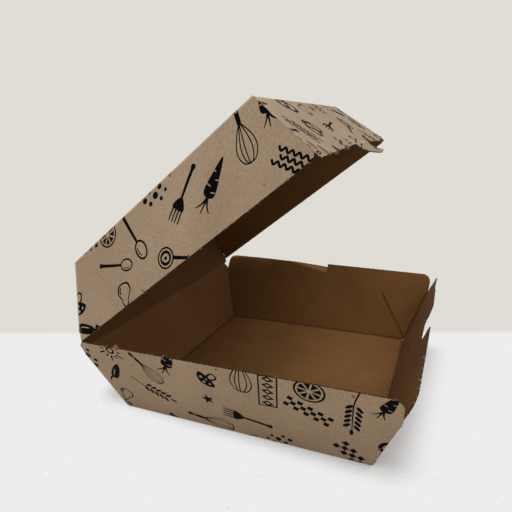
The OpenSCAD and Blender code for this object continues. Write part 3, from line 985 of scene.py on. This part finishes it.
def kraftMaterial(name, groups, tones, wearAndShade, bump, inked):
    base, dark, pale, foldWearAndShade = tones
    material = bpy.data.materials.new(name)
    material.use_nodes = True
    tree = material.node_tree
    shader = tree.nodes["Principled BSDF"]
    sheetMap = addNode(tree, "ShaderNodeUVMap", uv_map="sheet")
    crease = addNode(tree, "ShaderNodeAttribute", attribute_name="crease")
    fibre, fold = (addNode(tree, "ShaderNodeGroup", node_tree=group) for group in groups)
    feed(tree, (fold.inputs["Even"], wearAndShade[0]), (fold.inputs["Patchy"], wearAndShade[1]))
    wire(tree, (sheetMap.outputs[0], fibre.inputs["Vector"]), (sheetMap.outputs[0], fold.inputs["Vector"]),
         (crease.outputs["Fac"], fold.inputs["Crease"]))
    tone = mixColour(tree, between(tree, fibre.outputs["Cloud"], 0.3, 0.7), colourOf(*dark), colourOf(*base))
    dusk = mathNode(tree, "SUBTRACT", 1.0, fibre.outputs["Grain"])
    tone = mixColour(tree, mathNode(tree, "MULTIPLY", dusk, kraft["grain"]), tone,
                     colourOf(*(c * kraft["grainDarker"] for c in dark)))
    tone = mixColour(tree, mathNode(tree, "MULTIPLY", fibre.outputs["Pale fibre"], kraft["fibreShare"]), tone,
                     colourOf(*pale))
    if not inked:
        tone = mixColour(tree, mathNode(tree, "MULTIPLY", fibre.outputs["Speck"], kraft["speckShare"]), tone,
                         colourOf(*(c * kraft["speckDarker"] for c in base)))
    tone = mixColour(tree, fold.outputs["Wear"], tone, colourOf(*foldWearAndShade))
    rough = mathNode(tree, "ADD", mathNode(tree, "MULTIPLY", fibre.outputs["Height"], kraft["roughSpread"]),
                     kraft["inkRoughness" if inked else "roughness"])
    relief = tree.nodes.new("ShaderNodeBump")
    feed(tree, (relief.inputs["Strength"], bump), (relief.inputs["Distance"], kraft["relief"] * mm))
    wire(tree, (tone, shader.inputs["Base Color"]), (rough, shader.inputs["Roughness"]),
         (fibre.outputs["Height"], relief.inputs["Height"]), (relief.outputs[0], shader.inputs["Normal"]))
    shader.inputs["Specular IOR Level"].default_value = kraft["inkSpecular" if inked else "specular"]
    return material


# each finish: its material, tones (base, dark, pale, fold tone), even and patchy change at the folds, bump; the fold
# tone is paler wear outside and painted crease shade inside
finishRows = {
    "Outside": ("kraftOutside", ("outside", "outsideDark", "outsidePale", "outsidePale"), (0.1, 0.45), 0.2),
    "Inside": ("kraftInside", ("inside", "insideDark", "insidePale", "insideFoldShade"), (0.7, 0.2), 0.2),
    # the lid's inside: the inside finish made darker, as painted shade
    "Lid inside": ("kraftLidInsidePaintedShade", ("lidInsidePaintedShade", "lidInsidePaintedShadeDark", "insidePale", "insideFoldShade"), (0.7, 0.2), 0.2),
    "Raw edge": ("kraftEdge", ("rawEdge", "rawDark", "rawPale", "rawDark"), (0.0, 0.0), 0.3),
    "Crumb": ("kraftCrumb", ("crumb", "crumbDark", "crumbPale", "crumb"), (0.0, 0.0), 0.3),
    "Print": ("flatInk", ("ink", "ink", "inkThin", "outside"), (0.1, 0.5), 0.1),
}
groups = (fibreGroup(), creaseWearShadeGroup())
finishes = {label: kraftMaterial(name, groups, [kraft[tone] for tone in tones], wearAndShade, bump, label == "Print")
            for label, (name, tones, wearAndShade, bump) in finishRows.items()}
finishNumber = {label: number for number, label in enumerate(finishes)}
print("finishes mixed:", len(finishes))


# Geometry Nodes: fibres and crumbs that die cutting leaves on the raw edges

burr = {
    "perSquareMetre": 1.0e6,
    "smallest": 0.14, "largest": 0.4, "nick": 1.25,
    "shape": ((0.5, 0.5, 0.5), (1.7, 1.0, 1.0)),        # least and greatest share of the size each way
    "nickShape": ((0.7, 0.5, 0.5), (1.3, 0.9, 0.9)),
    "turns": ((0, 0, 0), (6.28, 6.28, 6.28)),
    "ragged": 1.1, "raggedScale": 4000.0,
    "seed": 5,
}


def burrTree():
    tree, given, result = newGroup("edgeBurrs", "GeometryNodeTree", [
        ("Box", "Geometry"), ("Density", "Float"), ("Smallest", "Float"), ("Largest", "Float"), ("Nick", "Float"),
        ("Seed", "Int"), ("Crumb", "Material")], [("Box", "Geometry")])

    def add(kind, **settings):
        return addNode(tree, kind, **settings)

    def spread(kind, low, high, offset):
        node = add("FunctionNodeRandomValue", data_type=kind)
        ends = (node.inputs[0], node.inputs[1]) if kind == "FLOAT_VECTOR" else (node.inputs[2], node.inputs[3])
        feed(tree, *zip(ends, (low, high)), (node.inputs["Seed"], mathNode(tree, "ADD", given["Seed"], float(offset))))
        return node.outputs[0] if kind == "FLOAT_VECTOR" else node.outputs[1]

    raw = add("FunctionNodeCompare", data_type="INT", operation="EQUAL")
    raw.inputs[3].default_value = finishNumber["Raw edge"]
    points = add("GeometryNodeDistributePointsOnFaces")
    crumb = add("GeometryNodeMeshIcoSphere")
    feed(tree, (crumb.inputs["Radius"], 1.0), (crumb.inputs["Subdivisions"], 1))
    strewn = add("GeometryNodeInstanceOnPoints")
    size = spread("FLOAT", given["Smallest"], given["Largest"], 1)
    squash = spread("FLOAT_VECTOR", *burr["shape"], 2)
    wire(tree, (kept(tree, "finish", "INT"), raw.inputs[2]), (given["Box"], points.inputs["Mesh"]),
         (raw.outputs[0], points.inputs["Selection"]), (given["Density"], points.inputs["Density"]),
         (given["Seed"], points.inputs["Seed"]), (points.outputs["Points"], strewn.inputs["Points"]),
         (crumb.outputs["Mesh"], strewn.inputs["Instance"]),
         (vectorNode(tree, "SCALE", squash, scale=size), strewn.inputs["Scale"]),
         (spread("FLOAT_VECTOR", *burr["turns"], 3), strewn.inputs["Rotation"]))

    nick = kept(tree, "nick", "FLOAT")
    torn, tornAt = add("GeometryNodeMeshToPoints"), add("GeometryNodeInstanceOnPoints")
    bigger = mathNode(tree, "MULTIPLY", given["Nick"], nick)
    wire(tree, (given["Box"], torn.inputs["Mesh"]),
         (mathNode(tree, "GREATER_THAN", nick, 0.01), torn.inputs["Selection"]),
         (torn.outputs[0], tornAt.inputs["Points"]), (crumb.outputs["Mesh"], tornAt.inputs["Instance"]),
         (vectorNode(tree, "SCALE", spread("FLOAT_VECTOR", *burr["nickShape"], 4), scale=bigger),
          tornAt.inputs["Scale"]),
         (spread("FLOAT_VECTOR", *burr["turns"], 5), tornAt.inputs["Rotation"]))

    both, loose = add("GeometryNodeJoinGeometry"), add("GeometryNodeRealizeInstances")
    ragged, paint = add("GeometryNodeSetPosition"), add("GeometryNodeSetMaterial")
    mapped = add("GeometryNodeStoreNamedAttribute", data_type="FLOAT2", domain="CORNER")
    mapped.inputs["Name"].default_value = "sheet"
    position = add("GeometryNodeInputPosition").outputs[0]
    rough = add("ShaderNodeTexNoise")
    rough.inputs["Scale"].default_value = burr["raggedScale"]
    wobble = vectorNode(tree, "SCALE", vectorNode(tree, "SUBTRACT", rough.outputs["Color"], (0.5, 0.5, 0.5)),
                        scale=mathNode(tree, "MULTIPLY", given["Largest"], burr["ragged"]))
    final = add("GeometryNodeJoinGeometry")
    wire(tree, (strewn.outputs[0], both.inputs[0]), (tornAt.outputs[0], both.inputs[0]),
         (both.outputs[0], loose.inputs[0]), (position, rough.inputs["Vector"]),
         (loose.outputs[0], ragged.inputs["Geometry"]), (wobble, ragged.inputs["Offset"]),
         (ragged.outputs[0], mapped.inputs["Geometry"]),
         (vectorNode(tree, "SCALE", position, scale=1 / (sheetUnit * mm)), mapped.inputs["Value"]),
         (mapped.outputs[0], paint.inputs["Geometry"]), (given["Crumb"], paint.inputs["Material"]),
         (paint.outputs[0], final.inputs[0]), (given["Box"], final.inputs[0]), (final.outputs[0], result[0]))
    return tree


# The two halves, cut flat, printed, folded and set in place

def growth(place, start, length):
    # 0 up to the start, then up to 1 over the length
    return numpy.clip((place - start) / length, 0, 1)


def trayBow(name, u, v):
    # how far a panel leaves its plane inwards, and how far its points then sink
    rise, sink = numpy.zeros(len(u)), numpy.zeros(len(u))
    if name == "frontTab":
        rise = tray["tabLift"]["most"] * growth(v, *tray["tabLift"]["up"]) ** 1.5
    if name == "right":
        # the lip beside the slit in the rim is bent outwards
        cut = tray["slit"]
        along = (cut["at"] - u) * cut["way"]
        foldAt = slope(tray["sideFlare"], tray["height"]) - cut["depth"] * numpy.clip(1 - along / cut["length"], 0, 1)
        past = numpy.where(along > 0, numpy.clip(v - foldAt, 0, cut["lip"]), 0)
        rise, sink = -math.sin(cut["bend"]) * past, (1 - math.cos(cut["bend"])) * past
    if name == "front":
        # it springs outwards: its rim between the glued ends, and its free far corner
        rim, corner = tray["frontBow"], tray["cornerBow"]
        middle = rim["most"] * numpy.clip(1 - (u / rim["halfWidth"]) ** 2, 0, 1) * (v / rim["height"]) ** 2
        rise = -middle - corner["most"] * growth(u, *corner["across"]) ** 2 * growth(v, *corner["up"]) ** 1.5
    return rise, sink


def lidBow(name, u, v):
    rise = numpy.zeros(len(u))
    if name == "tongue":
        rise = lid["tongueLift"]["most"] * growth(-u, *lid["tongueLift"]["along"]) ** 2
    return rise, numpy.zeros(len(u))


def addCrease(mesh, radius, sheetY):
    # rounded ridge of the pressed crease, along the hinge line
    shape = bmesh.new()
    shape.from_mesh(mesh)
    sheetMap, foldWearAndShade = shape.loops.layers.uv["sheet"], shape.verts.layers.float["crease"]
    sides, taper, endWidth = hinge["beadSides"], hinge["beadEnd"], hinge["beadEndWidth"]
    start, stop = -hinge["reach"], hinge["reach"] - hinge["cutBack"]
    rings = []
    for x, width in ((start, endWidth), (start + taper, 1), (stop - taper, 1), (stop, endWidth)):
        ring = []
        for i in range(sides):
            a = 2 * math.pi * i / sides
            y = hinge["y"] + width * radius * math.cos(a)
            z = hinge["z"] + width * radius * math.sin(a)
            point = shape.verts.new(Vector((x, y, z)) * mm)
            point[foldWearAndShade] = 0.0
            ring.append(point)
        rings.append(ring)
    faces = [shape.faces.new(rings[0][::-1]), shape.faces.new(rings[-1])]
    for a, b in zip(rings, rings[1:]):
        for i in range(sides):
            j = (i + 1) % sides
            faces.append(shape.faces.new((a[i], a[j], b[j], b[i])))
    for face in faces:
        behind = face.calc_center_median().y > hinge["y"] * mm
        face.material_index = finishNumber["Outside" if behind else "Inside"]
        for loop in face.loops:
            around = (loop.vert.co.z / mm - hinge["z"]) / sheetUnit
            loop[sheetMap].uv = (loop.vert.co.x / mm / sheetUnit, sheetY / sheetUnit + around)
    bmesh.ops.recalc_face_normals(shape, faces=faces)
    shape.to_mesh(mesh)
    shape.free()


folder, burrs = foldTree(list(finishes)), burrTree()
helpers = ("pointA", "pointB", "outA", "outB", "angleA", "angleB", "rise", "nick")


def linked(name, data):
    made = bpy.data.objects.new(name, data)
    bpy.context.scene.collection.objects.link(made)
    return made


def foldedPiece(name, size, bow):
    printed = printOn(scatterPrint(size["printReach"], size["printSeed"]))
    piece = linked(name, flatMesh(name, sheetPanels(size), printed, bow))
    runTree(piece, folder, {"Fold radius": card["foldRadius"] * mm, "Bow": 1.0, **finishes})
    runTree(piece, burrs, {"Density": burr["perSquareMetre"], "Smallest": burr["smallest"] * mm,
                           "Largest": burr["largest"] * mm, "Nick": burr["nick"] * mm, "Seed": burr["seed"],
                           "Crumb": finishes["Crumb"]})
    for helper in helpers:
        piece.data.attributes.remove(piece.data.attributes[helper])
    piece.data.name = name
    return piece


traySheet = foldedPiece("traySheet", tray, trayBow)
traySheet.data.transform(Matrix.Translation((0, 0, tray["lift"] * mm)))
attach(traySheet, "tray")
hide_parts("tray")

lidSheet = foldedPiece("lidSheet", lid, lidBow)
turnOver = Matrix.Rotation(math.pi, 4, "Y")
closed = Matrix.Translation((0, lid["middle"] * mm, lid["top"] * mm)) @ turnOver
hingeLine = Matrix.Translation((0, hinge["y"] * mm, hinge["z"] * mm))
opened = hingeLine @ Matrix.Rotation(math.radians(-lid["open"]), 4, "X") @ hingeLine.inverted()
lidSheet.data.transform(opened @ closed)
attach(lidSheet, "lid")
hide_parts("lid")

for piece, radius, size in ((traySheet, hinge["trayBead"], tray), (lidSheet, hinge["lidBead"], lid)):
    addCrease(piece.data, radius, size["depth"] / 2 + size["crease"])

for piece in (traySheet, lidSheet):
    piece.data.shade_smooth()
    piece.data.set_sharp_from_angle(angle=math.radians(card["sharpFrom"]))
print("sheets folded")


# Floor, light and camera

camera = {
    "place": (-205.16, -76.89, 122.55),
    "heading": -66.34,      # degrees round Z
    "tilt": 15.34,          # degrees below level
    "roll": -1.97,
    "focal": 32.32,
    "sensor": 36.0,
    "pixels": 512,
    "clip": (0.01, 50.0),
}

studio = {
    "floorSize": 12.0,
    "horizon": (333.3, 332.0), "horizonBlur": 0.004,    # pixel rows at the left and the right
    "nearTone": (237, 237, 237),
    "speckTone": (222, 221, 220),
    "speck": (520.0, 0.72, 0.78), "lint": (640.0, 0.735, 0.79),     # noise scale, and where it starts and is full
    "farTone": (223, 221, 213),
    "shadeMiddle": (0.0, -0.8), "shadeHalf": (48.1, 63.1), "shadeTurn": 3.1, "shadeReach": 17.0,
    # floor as it lights the box: beside it, and in front of its open side a dark patch of painted shade, so that less
    # light bounces onto the lid's inside
    "bounceTone": (228, 223, 214),
    "frontBounceShade": (106, 101, 93), "frontFrom": (0.045, 0.085), "frontSide": (-0.1, -0.06),
    "skyLevel": 0.94,
    "horizonLevel": 0.4,
    "frontDimming": 0.1,    # share of the level light that misses the box from its open side
    "sunLevel": 0.9,
    "sunFrom": (-0.1, -0.35, 1.0),
    "sunSoftness": 50.0,
}


def viewAxes():
    heading, tilt, roll = (math.radians(camera[k]) for k in ("heading", "tilt", "roll"))
    back = Vector((math.sin(heading) * math.cos(tilt), -math.cos(heading) * math.cos(tilt), math.sin(tilt)))
    right = (-back).cross(Vector((0, 0, 1))).normalized()
    up = right.cross(-back)
    return (right * math.cos(roll) + up * math.sin(roll), up * math.cos(roll) - right * math.sin(roll), back)


def floorPoint(px, py):
    # floor point under a pixel of the square picture, in metres
    right, up, back = viewAxes()
    middle = camera["pixels"] / 2
    focal = camera["focal"] / camera["sensor"] * camera["pixels"]
    ray = right * (px - middle) / focal + up * (middle - py) / focal - back
    place = Vector(camera["place"]) * mm
    return place + ray * (-place.z / ray.z)


def shownRays(tree):
    # 1 for rays that show the stage itself: straight, in gloss and through glass
    ray = tree.nodes.new("ShaderNodeLightPath").outputs
    return mathNode(tree, "MAXIMUM", ray["Is Camera Ray"],
                    mathNode(tree, "MAXIMUM", ray["Is Glossy Ray"], ray["Is Transmission Ray"]))


data = bpy.data.cameras.new("camera")
data.lens, data.sensor_width = camera["focal"], camera["sensor"]
data.clip_start, data.clip_end = camera["clip"]
eye = linked("camera", data)
eye.matrix_world = Matrix.Translation(Vector(camera["place"]) * mm) @ Matrix(viewAxes()).transposed().to_4x4()
bpy.context.scene.camera = eye

half = studio["floorSize"] / 2
floorMesh = bpy.data.meshes.new("floor")
floorMesh.from_pydata([(-half, -half, 0), (half, -half, 0), (half, half, 0), (-half, half, 0)], [], [(0, 1, 2, 3)])
floor = linked("floor", floorMesh)
floorPaint = bpy.data.materials.new("floorPaper")
floorPaint.use_nodes = True
floorMesh.materials.append(floorPaint)
tree = floorPaint.node_tree
start, end = floorPoint(0, studio["horizon"][0]), floorPoint(camera["pixels"] - 1, studio["horizon"][1])
run = (end - start).normalized()
beyond = Vector((-run.y, run.x, 0))
if beyond.dot(start - eye.matrix_world.translation) < 0:
    beyond.negate()
place = tree.nodes.new("ShaderNodeTexCoord")
depth = vectorNode(tree, "DOT_PRODUCT", place.outputs["Object"], tuple(beyond))
blur = studio["horizonBlur"]
far = between(tree, depth, beyond.dot(start) - blur, beyond.dot(start) + blur)
paper = mixColour(tree, far, colourOf(*studio["nearTone"]), colourOf(*studio["farTone"]))
for (scale, least, full), tone in ((studio["speck"], colourOf(*studio["speckTone"])), (studio["lint"], (1, 1, 1, 1))):
    spots = between(tree, noise(tree, place.outputs["Object"], scale, 1.0, 0.4), least, full)
    paper = mixColour(tree, mathNode(tree, "MULTIPLY", spots, mathNode(tree, "SUBTRACT", 1.0, far)), paper, tone)

# the shade shows in a slightly turned field round the box's foot, and fades out past it
field = tree.nodes.new("ShaderNodeMapping")
feed(tree, (field.inputs["Vector"], place.outputs["Object"]),
     (field.inputs["Location"], [-c * mm for c in studio["shadeMiddle"]] + [0]),
     (field.inputs["Rotation"], (0, 0, math.radians(studio["shadeTurn"]))))
outside = vectorNode(tree, "MAXIMUM", vectorNode(tree, "SUBTRACT", vectorNode(
    tree, "ABSOLUTE", field.outputs[0]), [c * mm for c in studio["shadeHalf"]] + [1000]), (0, 0, 0))
away = mathNode(tree, "SQRT", vectorNode(tree, "DOT_PRODUCT", outside, outside))
evenness = between(tree, away, 0.0, studio["shadeReach"] * mm)
shader = tree.nodes["Principled BSDF"]
feed(tree, (shader.inputs["Roughness"], 0.9), (shader.inputs["Specular IOR Level"], 0.0))
glow = tree.nodes.new("ShaderNodeEmission")
direct = shownRays(tree)
evened = tree.nodes.new("ShaderNodeMixShader")
split = tree.nodes.new("ShaderNodeSeparateXYZ")
wire(tree, (place.outputs["Object"], split.inputs[0]))
# the dark patch in front of the open side, seen only by bounced rays: painted shade
forward = mathNode(tree, "MULTIPLY", split.outputs["Y"], -1.0)
before = mathNode(tree, "MULTIPLY", between(tree, forward, *studio["frontFrom"]),
                  between(tree, split.outputs["X"], *studio["frontSide"]))
bounce = mixColour(tree, before, colourOf(*studio["bounceTone"]), colourOf(*studio["frontBounceShade"]))
bounced = mixColour(tree, direct, bounce, paper)
wire(tree, (bounced, shader.inputs["Base Color"]), (paper, glow.inputs["Color"]),
     (mathNode(tree, "MULTIPLY", direct, evenness), evened.inputs[0]),
     (shader.outputs[0], evened.inputs[1]), (glow.outputs[0], evened.inputs[2]),
     (evened.outputs[0], tree.nodes["Material Output"].inputs[0]))

world = bpy.data.worlds.new("studio")
bpy.context.scene.world = world
world.use_nodes = True
tree = world.node_tree
light = tree.nodes["Background"]
light.inputs["Color"].default_value = (1, 1, 1, 1)
direction = tree.nodes.new("ShaderNodeSeparateXYZ")
height = tree.nodes.new("ShaderNodeMapRange")
feed(tree, (height.inputs["To Min"], studio["horizonLevel"]), (height.inputs["To Max"], studio["skyLevel"]))
front = mathNode(tree, "MULTIPLY", mathNode(tree, "MAXIMUM", mathNode(
    tree, "MULTIPLY", direction.outputs["Y"], -1.0), 0.0), studio["frontDimming"])
kept = mathNode(tree, "SUBTRACT", 1.0, mathNode(tree, "MULTIPLY", front, mathNode(
    tree, "SUBTRACT", 1.0, mathNode(tree, "ABSOLUTE", direction.outputs["Z"]))))
wire(tree, (tree.nodes.new("ShaderNodeTexCoord").outputs["Generated"], direction.inputs[0]),
     (direction.outputs["Z"], height.inputs["Value"]),
     (mathNode(tree, "MULTIPLY", height.outputs[0], kept), light.inputs["Strength"]))
seen = tree.nodes.new("ShaderNodeBackground")
feed(tree, (seen.inputs["Color"], colourOf(*studio["farTone"])), (seen.inputs["Strength"], 1.0))
direct = shownRays(tree)
blend = tree.nodes.new("ShaderNodeMixShader")
wire(tree, (direct, blend.inputs[0]), (light.outputs[0], blend.inputs[1]), (seen.outputs[0], blend.inputs[2]),
     (blend.outputs[0], tree.nodes["World Output"].inputs[0]))

lamp = bpy.data.lights.new("softSun", "SUN")
lamp.energy, lamp.angle = studio["sunLevel"], math.radians(studio["sunSoftness"])
sun = linked("softSun", lamp)
sun.rotation_euler = Vector(studio["sunFrom"]).to_track_quat("Z", "Y").to_euler()

bpy.context.scene.view_settings.view_transform = "Standard"
print("stage, light and camera set")
